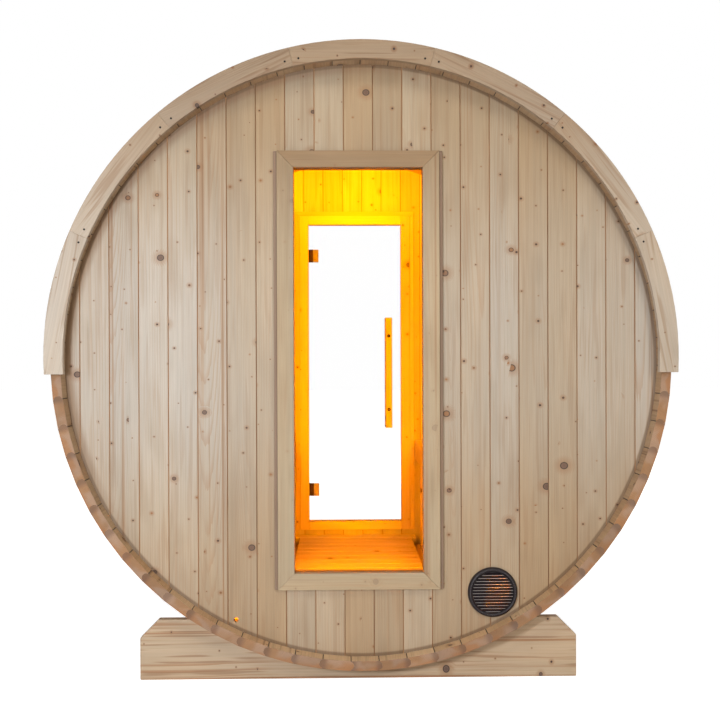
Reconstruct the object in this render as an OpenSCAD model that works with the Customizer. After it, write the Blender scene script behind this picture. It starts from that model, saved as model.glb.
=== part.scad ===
// Barrel sauna house: a lying barrel of bead-and-cove staves on two cradles,
// with boarded end walls set into a croze, a tall fixed window in the front wall
// and a frameless glass door in the rear wall. Millimetres. The axis of the barrel
// runs along Y, the window end looks along -Y, and the ground is Z = 0.

/* [Barrel] */
// Distance across the barrel, flat to flat of its staves
barrel_d = 2226; // [2000:2:2600]
// Length of the staves
barrel_l = 2100; // [1800:10:4000]
// Thickness of a stave
stave_t = 35; // [30:1:45]
// Number of staves round the barrel
stave_n = 67; // [56:1:78]
// Turn of the first stave from the lowest point, towards the left
first_stave_turn = 5.1; // [-10:0.1:10]
// Width of the bead on the edge of a stave
bead_w = 29; // [20:1:29]
// Height of the bead on the edge of a stave
bead_h = 11; // [6:0.5:12]
// Play between a bead and its cove
bead_gap = 0.3; // [0.2:0.05:0.6]
// Width of the chamfer on the inner edges of a stave
stave_chamfer = 1.6; // [0.5:0.1:3]
// Height of the lowest staves above the ground
underside_z = 57; // [40:1:120]

/* [End walls] */
// Distance from the ends of the staves to an end wall
wall_inset = 63; // [50:1:150]
// Thickness of an end wall
wall_t = 42; // [38:1:60]
// Depth of the croze, the groove that holds an end wall
croze_depth = 10; // [6:1:14]
// Play of an end wall in its croze
croze_gap = 0.5; // [0.3:0.1:1]
// Width of a wall board
board_w = 106.5; // [80:0.5:140]
// Place of one board joint, to the right of the middle
board_joint_x = 40.2; // [0:0.1:100]
// Width of the V joint between two boards
board_vee = 4; // [2:0.5:8]

/* [Window] */
// Clear width between the jambs of the window
window_w = 470; // [300:5:480]
// Distance from the middle of the end wall to the middle of the window, towards the left
window_shift = 14; // [0:1:30]
// Distance from the lowest stave up to the clear window
window_rise = 307; // [290:1:500]
// Distance from the clear window up to the highest stave
window_headroom = 376; // [360:1:700]
// Thickness of the window's glass
window_glass_t = 8; // [6:1:24]
// Distance from the face of the wall to the window's glass
window_glass_inset = 11; // [8:1:14]
// Thickness of the jamb boards
jamb_t = 20; // [16:1:28]
// Depth of the rebate for the glass
rebate = 10; // [6:1:12]
// Width of the casing round the window
casing_w = 60; // [40:1:80]
// Thickness of the casing round the window
casing_t = 22; // [15:1:35]
// Width of the battens beside the casing
side_batten_w = 12; // [6:1:30]
// Thickness of the battens beside the casing
side_batten_t = 12; // [6:1:20]

/* [Door] */
// Clear width between the door jambs
door_w = 508; // [450:1:560]
// Height of the threshold above the floor
threshold_rise = 77; // [75:1:150]
// Distance from the head of the door up to the highest stave
door_headroom = 340; // [325:1:600]
// Width of the door frame's face
frame_w = 48; // [40:1:60]
// Distance that the door frame stands proud of the inner face of the wall
frame_proud = 12; // [0:1:25]
// Thickness of the door's glass
door_glass_t = 8; // [6:1:12]
// Overlap of the door's glass on its frame
door_lap = 10; // [6:1:14]
// Gap between the door and what is fixed round it
door_gap = 6; // [5.5:0.5:8]
// Width of the outer casing round the door
door_casing_w = 70; // [60:1:90]
// Thickness of the outer casing round the door
door_casing_t = 18; // [14:1:24]
// Width of the strips round the inside of the door frame
inner_strip_w = 24; // [15:1:40]
// Thickness of the strips round the inside of the door frame
inner_strip_t = 8; // [5:1:12]
// Height of a door hinge
hinge_h = 70; // [60:1:100]
// Length of a hinge plate on the glass
hinge_plate_w = 48; // [40:1:70]
// Distance from the head and the threshold to a hinge
hinge_inset = 166; // [100:1:300]
// Length of the wooden handles
handle_l = 608; // [300:1:800]
// Width of the wooden handles
handle_w = 37; // [25:1:50]
// Thickness of the wooden handles
handle_t = 28; // [20:1:40]
// Distance from the glass to a handle
handle_standoff = 24; // [20:1:60]
// Place of the handle to the right of the middle
handle_x = 187; // [150:1:195]

/* [Floor and benches] */
// Height of the floor above the lowest stave
floor_rise = 109; // [80:1:115]
// Length of a floor slat across the cabin
slat_l = 606; // [500:1:640]
// Width of a floor slat along the cabin
slat_w = 88; // [60:1:120]
// Thickness of a floor slat
slat_t = 26; // [20:1:30]
// Gap between two floor slats
slat_gap = 8; // [5:1:20]
// Length of the last slat, at the door
end_slat_l = 656; // [500:1:656]
// Distance from the middle of the cabin to the front of a bench
bench_x = 329; // [329:1:400]
// Height of a seat above the floor
seat_rise = 519; // [420:1:620]
// Thickness of a seat plank
seat_t = 28; // [22:1:40]
// Number of planks in a seat
seat_planks = 5; // [3:1:5]
// Gap between two seat planks
seat_gap = 14; // [6:1:25]
// Radius of the rounded front edge of a seat
seat_round = 12; // [4:1:14]
// Height of the apron under the front of a seat
apron_h = 75; // [50:1:120]
// Thickness of the apron
apron_t = 28; // [20:1:40]
// Side of the square rails and bearers
post_w = 45; // [35:1:60]
// Width of a bench leg
leg_w = 95; // [60:1:140]

/* [Fascia and roof] */
// How far a fascia stands out beyond the staves
fascia_overhang = 19; // [15:1:45]
// Width of a fascia board
fascia_w = 68; // [40:1:100]
// Thickness of a fascia board
fascia_t = 25; // [18:1:40]
// Height of a fascia's centre above the axis
fascia_lift = 13; // [0:1:20]
// Number of boards in a fascia
fascia_n = 7; // [5:1:11]
// Angle that one fascia board spans
fascia_step = 26.6; // [16:0.1:36]
// Depth of the fascia's cut ends below the axis
fascia_end_drop = 44; // [0:1:120]
// Number of shingle courses on each side of the ridge
course_n = 12; // [8:1:16]
// Thickness of one shingle
shingle_t = 3.2; // [2:0.1:5]
// Half the angle that the ridge cap spans
ridge_half = 4.5; // [3:0.5:8]

/* [Cradles] */
// Length of a cradle across the barrel
cradle_l = 1608; // [1200:2:1900]
// Height of a cradle's ends
cradle_h = 222; // [160:1:300]
// Thickness of a cradle
cradle_t = 35; // [28:1:120]
// Side of the bevel on a cradle's upper corners
cradle_bevel = 68; // [0:1:100]
// Distance from the middle of the barrel to the middle of a cradle, towards the left
cradle_shift = 15; // [0:1:30]
// Distance from the ends of the staves to the outer face of a cradle
cradle_inset = 100; // [60:5:400]

/* [Bands] */
// Width of a steel band
band_w = 20; // [15:1:40]
// Thickness of a steel band
band_t = 1; // [0.8:0.1:2]
// Distance from the ends of the staves to the middle of a band
band_inset = 330; // [200:5:600]

/* [Vent and cable entry] */
// Distance from the staves in to the middle of the vent
vent_margin = 108; // [95:1:300]
// Turn of the vent from the lowest point, towards the right
vent_turn = 29.2; // [24:0.1:60]
// Radius of the vent's rim
vent_rim_r = 91; // [70:1:100]
// Radius of the louvred opening
vent_open_r = 74; // [50:1:80]
// Height of the vent's rim above the wall
vent_rise = 16; // [10:1:25]
// Distance from one louvre to the next
louvre_pitch = 11; // [8:0.5:16]
// Distance from the staves in to the middle of the cable entry
cable_margin = 28; // [20:1:200]
// Turn of the cable entry from the lowest point, towards the left
cable_turn = 26.2; // [20:0.1:60]
// Diameter of the cable entry
cable_d = 17; // [8:1:30]

/* [Hidden] */
$fn = 96;
FIT = 0.3;         // play between pieces that lie on each other
EDGE = 1;          // how far a cutting shape reaches past what it cuts
LARGE_FN = 288;    // facets of circles as large as the barrel

// Barrel. The staves have flat faces, so their corners lie a little outside the flats.
stave_step = 360 / stave_n;
r_out = barrel_d / 2;
r_in = r_out - stave_t;
r_mid = r_out - stave_t / 2;
r_out_corner = r_out / cos(stave_step / 2);
r_in_corner = r_in / cos(stave_step / 2);
axis_z = underside_z + r_out;
end_y = barrel_l / 2;
bead_r = (pow(bead_w / 2, 2) + pow(bead_h, 2)) / (2 * bead_h);
bead_back = bead_r - bead_h;
joint_half = stave_step / 2 - asin(bead_gap / 2 / r_mid);
last_stave = floor(stave_n / 2);
skin_r = r_in - FIT;      // reach of what stands on the inside of the staves

// End walls, worked out for the rear one; what belongs to the front is mirrored
wall_out_y = end_y - wall_inset;
wall_in_y = wall_out_y - wall_t;
wall_r = r_in + croze_depth - croze_gap;
croze_r = r_in + croze_depth;
vee_depth = board_vee * 0.6;

// Window
win_x = window_w / 2;
win_z0 = -r_in + window_rise;
win_z1 = r_in - window_headroom;
win_hole_x0 = -window_shift - win_x - jamb_t - FIT;
win_hole_x1 = -window_shift + win_x + jamb_t + FIT;
win_hole_z0 = win_z0 - jamb_t - FIT;
win_hole_z1 = win_z1 + jamb_t + FIT;
pane_out_y = wall_out_y - window_glass_inset;
pane_in_y = pane_out_y - window_glass_t;
pane_lap = rebate - FIT;
casing_x = win_x + casing_w;

// Floor
slat_z1 = -r_in + floor_rise;
slat_z0 = slat_z1 - slat_t;
floor_y1 = wall_in_y - FIT;
floor_y0 = -floor_y1;
end_slat_y = floor_y1 - slat_w;
slat_count = floor((end_slat_y - floor_y0) / (slat_w + slat_gap));
slat_pitch = (end_slat_y - floor_y0) / slat_count;
bearer_x = slat_l / 2 - 1.5 * post_w;

// Door
door_x = door_w / 2;
door_z0 = slat_z1 + threshold_rise;
door_z1 = r_in - door_headroom;
frame_x = door_x + frame_w;
frame_z0 = door_z0 - frame_w;
frame_z1 = door_z1 + frame_w;
frame_in_y = wall_in_y - frame_proud;
leaf_in_y = wall_out_y + door_gap;
leaf_out_y = leaf_in_y + door_glass_t;
leaf_x = door_x + door_lap;
leaf_z0 = door_z0 - door_lap;
leaf_z1 = door_z1 + door_lap;
reveal_x = leaf_x + door_gap;
door_casing_y = wall_out_y + door_casing_t;

// Hinges, on a pivot just outside the casing and in line with the edge of its opening
knuckle_r = 8;
pin_r = 4;
pin_play = 0.08;
pivot_x = -reveal_x;
pivot_y = door_casing_y + knuckle_r + 3;
knuckle_gap = 1;
knuckle_h = hinge_h / 4;
plate_t = 4;
base_plate_t = 3;
base_plate_w = 38;
hinge_zs = [door_z1 - hinge_inset, door_z0 + hinge_inset];

// Handles, one on each face of the glass at the middle of its height, on two bolts
bolt_r = 5;
bolt_play = 0.5;
spacer_r = 9;
bolt_head_r = 6.5;
bolt_head_t = 5;
bolt_recess_r = 9;
bolt_recess = 8;
handle_z = (door_z0 + door_z1) / 2;
handle_bolt_zs = [handle_z + handle_l / 3, handle_z - handle_l / 3];
handle_out_y = leaf_out_y + handle_standoff;
handle_in_y = leaf_in_y - handle_standoff;
handle_out_face = handle_out_y + handle_t;
handle_in_face = handle_in_y - handle_t;
handle_out_seat = handle_out_face - bolt_recess;
handle_in_seat = handle_in_face + bolt_recess;

// Benches
seat_z1 = slat_z1 + seat_rise;
seat_z0 = seat_z1 - seat_t;
seat_y = wall_in_y - FIT;
seat_reach = sqrt(pow(skin_r, 2) - pow(seat_z0, 2)) - seat_gap / 2;
plank_pitch = (seat_reach - bench_x + seat_gap) / seat_planks;
rail_z1 = seat_z0 - FIT;
rail_z0 = rail_z1 - post_w;
rail_x0 = bench_x + apron_t + FIT;
leg_z1 = rail_z0 - FIT;
apron_z1 = seat_z0 - FIT;
bench_bays = 3;
rail_y = wall_in_y - FIT - post_w / 2;

// Fascia, roof and bands
fascia_r = r_out + fascia_overhang;
fascia_in_r = fascia_r - fascia_w;
fascia_play = FIT / fascia_r * 90 / PI;
band_r = r_out_corner + FIT / 4;
course_r = band_r + band_t + FIT;
course_half_max = 90 + asin(fascia_end_drop / r_out);
course_step = (course_half_max - ridge_half) / course_n;
arc_parts = 3;
lug_angle = 118;
lug_h = 16;
lug_t = 4;
lug_spread = 1;
lug_w = band_w * 0.9;
lug_bolt_d = 6;
lug_bolt_l = 64;

// Vent and cable entry, about the axis
vent_at = polar(r_in - vent_margin, 180 - vent_turn);
cable_at = polar(r_in - cable_margin, 180 + cable_turn);
vent_hole_r = vent_open_r - 3;
vent_tube_t = 2.5;
vent_tube_l = 30;
vent_flange_t = 4;
louvre_t = 2.4;
louvre_depth = 12;
louvre_tilt = 35;

SPRUCE = "#d9bd92";
SPRUCE_DARK = "#b98f62";
STAVE_WOOD = "#b58a60";
CABIN_WOOD = "#e0b981";
BLACK = "#26262a";
STEEL = "#a9adb2";
GLASS = [0.75, 0.86, 0.86, 0.35];
SHINGLE = "#5b4a40";

// ---------------------------------------------------------------- helpers

// A point at a radius and an angle from straight up, clockwise seen from the window end
function polar(r, a) = [r * sin(a), r * cos(a)];

// What is drawn about the axis of the barrel is lifted to its height
module on_axis() { translate([0, 0, axis_z]) children(); }

// What belongs to the front end, drawn at the rear end
module to_front() { mirror([0, 1, 0]) children(); }

// An outline in X and Z, given its depth from y0 to y1
module along_y(y0, y1) {
    translate([0, y1, 0]) rotate([90, 0, 0]) linear_extrude(height = y1 - y0) children();
}

// A box between two corners
module block(a, b) { translate(a) cube(b - a); }

// A disc round the axis of the barrel
module disc(r, y0, y1) {
    translate([0, y1, 0]) rotate([90, 0, 0]) cylinder(r = r, h = y1 - y0, $fn = r > r_in / 2 ? LARGE_FN : $fn);
}

// A ring round the axis of the barrel between two angles
module ring(r0, r1, y0, y1, from, to) {
    translate([0, y1, 0]) rotate([90, to - 90, 0])
        rotate_extrude(angle = to - from, $fn = LARGE_FN) translate([r0, 0]) square([r1 - r0, y1 - y0]);
}

// Four mitred boards round an opening, with play at the mitres
module mitred_frame(x, z0, z1, w, y0, y1) {
    g = FIT * 0.75;
    along_y(y0, y1) {
        for (s = [-1, 1])
            polygon([[s * x, z0 + g], [s * (x + w), z0 - w + g], [s * (x + w), z1 + w - g], [s * x, z1 - g]]);
        polygon([[-x + g, z0], [x - g, z0], [x + w - g, z0 - w], [-x - w + g, z0 - w]]);
        polygon([[-x + g, z1], [x - g, z1], [x + w - g, z1 + w], [-x - w + g, z1 + w]]);
    }
}

// Four square-cut boards round an opening: the uprights run past the head and the sill
module butted_frame(x, z0, z1, w, y0, y1) {
    for (s = [-1, 1]) {
        block([s > 0 ? x : -x - w, y0, z0 - w], [s > 0 ? x + w : -x, y1, z1 + w]);
        block([-x + FIT, y0, s > 0 ? z1 : z0 - w], [x - FIT, y1, s > 0 ? z1 + w : z0]);
    }
}

// ---------------------------------------------------------------- barrel

// A circle on the joint at angle a of a stave, set back from it, for a bead or a cove
module edge_circle(a, back, r) {
    rotate(-a) translate([sign(a) * back, r_mid]) circle(r = r);
}

// A bead: the crown of a circle that is set back behind the joint
module bead(a) {
    intersection() {
        edge_circle(a, -bead_back, bead_r);
        rotate(-a) translate([-bead_h - EDGE, r_mid - bead_w / 2]) square([2 * (bead_h + EDGE), bead_w]);
    }
}

module cove(a) { edge_circle(a, bead_back, bead_r + bead_gap); }

// A stave without its bead and cove, chamfered along both inner edges
module stave_outline() {
    h = joint_half;
    shoulder = r_in_corner + stave_chamfer;
    foot = h - stave_chamfer / r_in * 180 / PI;
    polygon([polar(r_in_corner, -foot), polar(shoulder, -h), polar(r_out_corner, -h),
             polar(r_out_corner, h), polar(shoulder, h), polar(r_in_corner, foot)]);
}

// Stave i, counted upwards from the first one: to the left it is positive. It has a bead
// on its upper edge and a cove in its lower one. The first has two beads, the last two coves.
module stave(i) {
    up = i >= 0 ? 1 : -1;
    half = stave_step / 2;
    rotate(180 - first_stave_turn - i * stave_step) difference() {
        union() {
            stave_outline();
            if (i != last_stave) bead(up * half);
            if (i == 0) bead(-half);
        }
        if (i != 0) cove(-up * half);
        if (i == last_stave) cove(up * half);
    }
}

// A sixth of the barrel, with the croze cut for both end walls
module staves(sixth) {
    first = round((sixth - 0.5) * stave_n / 6);
    last = round((sixth + 0.5) * stave_n / 6) - 1;
    color(STAVE_WOOD) on_axis() difference() {
        along_y(-end_y, end_y)
            for (k = [first : last]) stave(k > last_stave ? k - stave_n : k);
        disc(croze_r, wall_in_y - croze_gap, wall_out_y + croze_gap);
        to_front() disc(croze_r, wall_in_y - croze_gap, wall_out_y + croze_gap);
    }
}

module barrel_bands() {
    color(STEEL) on_axis() for (s = [-1, 1]) translate([0, s * (end_y - band_inset), 0]) {
        ring(band_r, band_r + band_t, -band_w / 2, band_w / 2, lug_angle + lug_spread, lug_angle + 360 - lug_spread);
        for (side = [-1, 1]) rotate([0, lug_angle + side * lug_spread, 0])
            block([-lug_t / 2, -lug_w / 2, band_r + band_t / 2], [lug_t / 2, lug_w / 2, band_r + lug_h]);
        rotate([0, lug_angle, 0]) translate([0, 0, band_r + lug_h * 0.6])
            rotate([0, 90, 0]) cylinder(d = lug_bolt_d, h = lug_bolt_l, center = true);
    }
}

// ---------------------------------------------------------------- end walls

// Outline of upright boards from x0 to x1, with a V joint on both faces where two boards meet
module board_outline(x0, x1) {
    v = board_vee / 2;
    k0 = ceil((x0 + board_vee - board_joint_x) / board_w);
    k1 = floor((x1 - board_vee - board_joint_x) / board_w);
    joints = [for (k = [k0 : 1 : k1]) board_joint_x + k * board_w];
    polygon([
        [x0, wall_in_y],
        each [for (x = joints) each [[x - v, wall_in_y], [x, wall_in_y + vee_depth], [x + v, wall_in_y]]],
        [x1, wall_in_y],
        [x1, wall_out_y],
        each [for (k = [len(joints) - 1 : -1 : 0]) each
            [[joints[k] + v, wall_out_y], [joints[k], wall_out_y - vee_depth], [joints[k] - v, wall_out_y]]],
        [x0, wall_out_y]]);
}

// Boards of an end wall between two heights, cut to the round of the croze
module wall_boards(x0, x1, z0, z1) {
    on_axis() intersection() {
        translate([0, 0, z0]) linear_extrude(height = z1 - z0) board_outline(x0, x1);
        disc(wall_r, wall_in_y - EDGE, wall_out_y + EDGE);
    }
}

// A round hole through an end wall, with its axis along Y
module wall_bore(at, r) {
    on_axis() translate([at.x, 0, at.y]) disc(r, wall_in_y - EDGE, wall_out_y + EDGE);
}

module front_wall_left() {
    color(SPRUCE) to_front() difference() {
        wall_boards(-wall_r, win_hole_x0, -wall_r, wall_r);
        wall_bore(cable_at, cable_d / 2);
    }
}

module front_wall_right() {
    color(SPRUCE) to_front() difference() {
        wall_boards(win_hole_x1, wall_r, -wall_r, wall_r);
        wall_bore(vent_at, vent_hole_r);
    }
}

module front_wall_over_window() {
    color(SPRUCE) to_front() wall_boards(win_hole_x0, win_hole_x1, win_hole_z1, wall_r);
}

module front_wall_under_window() {
    color(SPRUCE) to_front() wall_boards(win_hole_x0, win_hole_x1, -wall_r, win_hole_z0);
}

module rear_wall_side(s) {
    color(SPRUCE) wall_boards(s > 0 ? frame_x + FIT : -wall_r, s > 0 ? wall_r : -frame_x - FIT, -wall_r, wall_r);
}

module rear_wall_over_door() {
    color(SPRUCE) wall_boards(-frame_x - FIT, frame_x + FIT, frame_z1 + FIT, wall_r);
}

module rear_wall_under_door() {
    color(SPRUCE) wall_boards(-frame_x - FIT, frame_x + FIT, -wall_r, frame_z0 - FIT);
}

// ---------------------------------------------------------------- window

// What is drawn about the middle of the window, in the front wall
module at_window() {
    to_front() on_axis() translate([-window_shift, 0, 0]) children();
}

// Profile of a jamb board, from the clear opening outwards: thinner behind, for the rebate
module jamb_outline() {
    polygon([[0, wall_out_y], [0, pane_out_y + FIT], [rebate, pane_out_y + FIT], [rebate, wall_in_y],
             [jamb_t, wall_in_y], [jamb_t, wall_out_y]]);
}

module window_jambs() {
    color(SPRUCE) at_window() {
        for (s = [0, 1]) mirror([s, 0, 0]) translate([win_x, 0, win_z0 - jamb_t])
            linear_extrude(height = win_z1 - win_z0 + 2 * jamb_t) jamb_outline();
        translate([0, 0, win_z1]) sill_board();
        translate([0, 0, win_z0]) mirror([0, 0, 1]) sill_board();
    }
}

// A board across the window, between the uprights
module sill_board() {
    l = window_w - 2 * FIT;
    translate([-l / 2, 0, 0]) rotate([90, 0, 90]) linear_extrude(height = l)
        mirror([1, -1]) jamb_outline();
}

module window_glass() {
    color(GLASS) at_window()
        block([-win_x - pane_lap, pane_in_y, win_z0 - pane_lap], [win_x + pane_lap, pane_out_y, win_z1 + pane_lap]);
}

module window_beads() {
    color(SPRUCE) at_window()
        mitred_frame(win_x, win_z0, win_z1, pane_lap, wall_in_y, pane_in_y - FIT);
}

module window_casing() {
    color(SPRUCE) at_window()
        mitred_frame(win_x, win_z0, win_z1, casing_w, wall_out_y, wall_out_y + casing_t);
}

module window_side_battens() {
    color(SPRUCE_DARK) at_window() for (s = [0, 1]) mirror([s, 0, 0])
        block([casing_x + FIT, wall_out_y, win_z0 - casing_w],
              [casing_x + FIT + side_batten_w, wall_out_y + side_batten_t, win_z1 + casing_w]);
}

// ---------------------------------------------------------------- vent

// Round vent: a flange with a rolled rim, a short tube through the wall, and louvres whose
// outer edges are the lower ones
module vent_grille() {
    rim_w = vent_rim_r - vent_open_r;
    color(BLACK) to_front() on_axis() translate([vent_at.x, wall_out_y, vent_at.y]) rotate([-90, 0, 0]) {
        rotate_extrude() {
            translate([vent_open_r - vent_tube_t, 0]) square([rim_w + vent_tube_t, vent_flange_t]);
            intersection() {
                translate([vent_open_r + rim_w / 2, vent_flange_t / 2]) scale([1, (vent_rise - vent_flange_t / 2) / (rim_w / 2)])
                    circle(r = rim_w / 2);
                translate([vent_open_r, 0]) square([rim_w, vent_rise]);
            }
            translate([vent_hole_r - FIT - vent_tube_t, -vent_tube_l])
                square([vent_tube_t, vent_tube_l + vent_flange_t]);
        }
        intersection() {
            cylinder(r = vent_open_r, h = vent_rise);
            louvres();
        }
    }
}

module louvres() {
    n = floor(vent_open_r / louvre_pitch);
    for (k = [-n : n]) translate([0, k * louvre_pitch, vent_rise / 2])
        rotate([-louvre_tilt, 0, 0]) cube([2 * vent_open_r, louvre_t, louvre_depth], center = true);
}

// ---------------------------------------------------------------- door

module door_frame() {
    color(CABIN_WOOD) on_axis() butted_frame(door_x, door_z0, door_z1, frame_w, frame_in_y, wall_out_y);
}

// Casing on the outside, whose inner edge is the rebate that the glass closes into
module door_casing() {
    gap = leaf_x + door_gap - door_x;
    color(SPRUCE) on_axis()
        butted_frame(reveal_x, door_z0 - gap, door_z1 + gap, door_casing_w, wall_out_y, door_casing_y);
}

// Strips against the sides and the head of the frame, on the inner face of the wall
module door_inner_strips() {
    y0 = wall_in_y - inner_strip_t;
    x0 = frame_x + FIT;
    x1 = x0 + inner_strip_w;
    color(CABIN_WOOD) on_axis() {
        for (s = [0, 1]) mirror([s, 0, 0]) block([x0, y0, frame_z0], [x1, wall_in_y, frame_z1]);
        block([-x1, y0, frame_z1 + FIT], [x1, wall_in_y, frame_z1 + FIT + inner_strip_w]);
    }
}

// What is drawn about a pivot along Z, at both hinges
module at_hinges() {
    on_axis() for (z = hinge_zs) translate([pivot_x, pivot_y, z]) children();
}

// Fixed halves of the hinges: a plate on the casing, two knuckles and the pin
module door_hinge_bases() {
    face = door_casing_y - pivot_y;
    color(STEEL) at_hinges() {
        for (s = [0, 1]) mirror([0, 0, s]) translate([0, 0, knuckle_h + knuckle_gap])
            linear_extrude(height = knuckle_h - knuckle_gap) {
                circle(r = knuckle_r);
                translate([-knuckle_r, face]) square([knuckle_r, -face]);
            }
        block([-base_plate_w, face, -hinge_h / 2], [-knuckle_r / 2, face + base_plate_t, hinge_h / 2]);
        cylinder(r = pin_r, h = hinge_h, center = true);
    }
}

// Moving halves of the hinges: a knuckle, an arm, and a plate on each face of the glass
module door_hinge_leaves() {
    glass_out = leaf_out_y - pivot_y;
    glass_in = leaf_in_y - pivot_y;
    arm_x = pivot_x + door_gap;
    plate_x = -door_x + door_gap;
    color(STEEL) at_hinges() {
        difference() {
            linear_extrude(height = 2 * knuckle_h, center = true) {
                circle(r = knuckle_r);
                translate([door_gap, glass_out]) square([knuckle_r, -glass_out + knuckle_r / 2]);
                translate([0, -knuckle_r / 2]) square([door_gap + knuckle_r, knuckle_r]);
            }
            cylinder(r = pin_r + pin_play, h = hinge_h, center = true);
        }
        block([door_gap, glass_out, -hinge_h / 2], [plate_x - pivot_x + hinge_plate_w, glass_out + plate_t, hinge_h / 2]);
        block([plate_x - pivot_x, glass_in - plate_t, -hinge_h / 2],
              [plate_x - pivot_x + hinge_plate_w, glass_in, hinge_h / 2]);
    }
}

module door_glass() {
    color(GLASS) on_axis() difference() {
        block([-leaf_x, leaf_in_y, leaf_z0], [leaf_x, leaf_out_y, leaf_z1]);
        for (z = handle_bolt_zs) translate([handle_x, 0, z])
            disc(bolt_r + bolt_play, leaf_in_y - EDGE, leaf_out_y + EDGE);
    }
}

// A wooden bar with rounded long edges, and for each bolt a hole with a recess for its head
module handle(y0, y1, recess_y0, recess_y1) {
    round_r = handle_t / 4;
    color(CABIN_WOOD) on_axis() difference() {
        translate([handle_x, 0, handle_z - handle_l / 2]) linear_extrude(height = handle_l)
            rounded_rect(-handle_w / 2, y0, handle_w, y1 - y0, round_r);
        for (z = handle_bolt_zs) translate([handle_x, 0, z]) {
            disc(bolt_r + FIT, y0 - EDGE, y1 + EDGE);
            disc(bolt_recess_r, recess_y0, recess_y1);
        }
    }
}

// A rectangle with round corners, made of exact arcs
module rounded_rect(x, y, w, h, r) {
    translate([x + r, y]) square([w - 2 * r, h]);
    translate([x, y + r]) square([w, h - 2 * r]);
    for (cx = [x + r, x + w - r], cy = [y + r, y + h - r]) translate([cx, cy]) circle(r = r);
}

module door_handle_inner() {
    handle(handle_in_face, handle_in_y, handle_in_face - EDGE, handle_in_seat);
}

module door_handle_outer() {
    handle(handle_out_y, handle_out_face, handle_out_seat, handle_out_face + EDGE);
}

// Each bolt runs through both handles and the glass, with a spacer on each side of the glass
module door_handle_bolts() {
    color(STEEL) on_axis() for (z = handle_bolt_zs) translate([handle_x, 0, z]) {
        disc(bolt_r, handle_in_seat - bolt_head_t, handle_out_seat + bolt_head_t);
        disc(bolt_head_r, handle_in_seat - bolt_head_t, handle_in_seat - FIT / 2);
        disc(bolt_head_r, handle_out_seat + FIT / 2, handle_out_seat + bolt_head_t);
        disc(spacer_r, handle_in_y + FIT / 2, leaf_in_y - FIT / 2);
        disc(spacer_r, leaf_out_y + FIT / 2, handle_out_y - FIT / 2);
    }
}

// ---------------------------------------------------------------- inside

module floor_slats() {
    color(CABIN_WOOD) on_axis() {
        for (k = [0 : slat_count - 1]) translate([0, floor_y0 + k * slat_pitch, 0])
            block([-slat_l / 2, 0, slat_z0], [slat_l / 2, slat_w, slat_z1]);
        block([-end_slat_l / 2, end_slat_y, slat_z0], [end_slat_l / 2, floor_y1, slat_z1]);
    }
}

// Bearers along the cabin, each shaped underneath to lie on the staves
module floor_bearers() {
    color(SPRUCE_DARK) on_axis() for (x = [-bearer_x, 0, bearer_x]) intersection() {
        block([x - post_w / 2, floor_y0, -r_in], [x + post_w / 2, floor_y1, slat_z0 - FIT]);
        disc(skin_r, floor_y0, floor_y1);
    }
}

// Planks along the cabin; the front one has a rounded upper edge
module bench_seat() {
    w = plank_pitch - seat_gap;
    color(CABIN_WOOD) on_axis() along_y(-seat_y, seat_y) {
        for (k = [1 : seat_planks - 1]) translate([bench_x + k * plank_pitch, seat_z0]) square([w, seat_t]);
        translate([bench_x, seat_z0]) {
            square([w, seat_t - seat_round]);
            translate([seat_round, 0]) square([w - seat_round, seat_t]);
            translate([seat_round, seat_t - seat_round]) circle(r = seat_round);
        }
    }
}

module bench_apron() {
    color(CABIN_WOOD) on_axis()
        block([bench_x, -seat_y, apron_z1 - apron_h], [bench_x + apron_t, seat_y, apron_z1]);
}

// Under the seat, cross rails that end on the staves, each on a leg behind the apron
module bench_frame() {
    color(CABIN_WOOD) on_axis() for (k = [0 : bench_bays]) intersection() {
        y = -rail_y + k * 2 * rail_y / bench_bays;
        translate([0, y - post_w / 2, 0]) {
            block([rail_x0, 0, rail_z0], [r_in, post_w, rail_z1]);
            block([rail_x0, 0, -r_in], [rail_x0 + leg_w, post_w, leg_z1]);
        }
        disc(skin_r, -end_y, end_y);
    }
}

module to_left() { mirror([1, 0, 0]) children(); }

// ---------------------------------------------------------------- fascia and roof

// An arch of butted boards on the ends of the staves, cut level at both feet
module fascia() {
    color(SPRUCE) on_axis() difference() {
        translate([0, 0, fascia_lift]) for (k = [0 : fascia_n - 1]) {
            from = (k - fascia_n / 2) * fascia_step;
            ring(fascia_in_r, fascia_r, end_y, end_y + fascia_t, from + fascia_play, from + fascia_step - fascia_play);
        }
        block([-2 * fascia_r, end_y - EDGE, -2 * fascia_r], [2 * fascia_r, end_y + fascia_t + EDGE, -fascia_end_drop]);
    }
}

// Outline of a course between two angles, from the upper one to the lower one. It is one
// shingle thick at its upper edge and three thick at its lower one, where courses overlap.
module course_outline(upper, lower) {
    angles = [for (k = [0 : arc_parts]) upper + k * (lower - upper) / arc_parts];
    polygon([
        each [for (a = angles) polar(course_r, a)],
        each [for (k = [arc_parts : -1 : 0]) polar(course_r + shingle_t * (1 + 2 * k / arc_parts), angles[k])]]);
}

module roof_courses_right() {
    play = FIT / course_r * 90 / PI;
    color(SHINGLE) on_axis() along_y(-end_y, end_y) for (k = [0 : course_n - 1]) {
        upper = ridge_half + k * course_step;
        course_outline(upper + play, upper + course_step - play);
    }
}

module roof_ridge_cap() {
    color(SHINGLE) on_axis() along_y(-end_y, end_y) polygon([
        each [for (k = [-2 : 2]) polar(course_r, k * ridge_half / 2)],
        each [for (k = [2 : -1 : -2]) polar(course_r + 3 * shingle_t, k * ridge_half / 2)]]);
}

// ---------------------------------------------------------------- cradles

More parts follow.
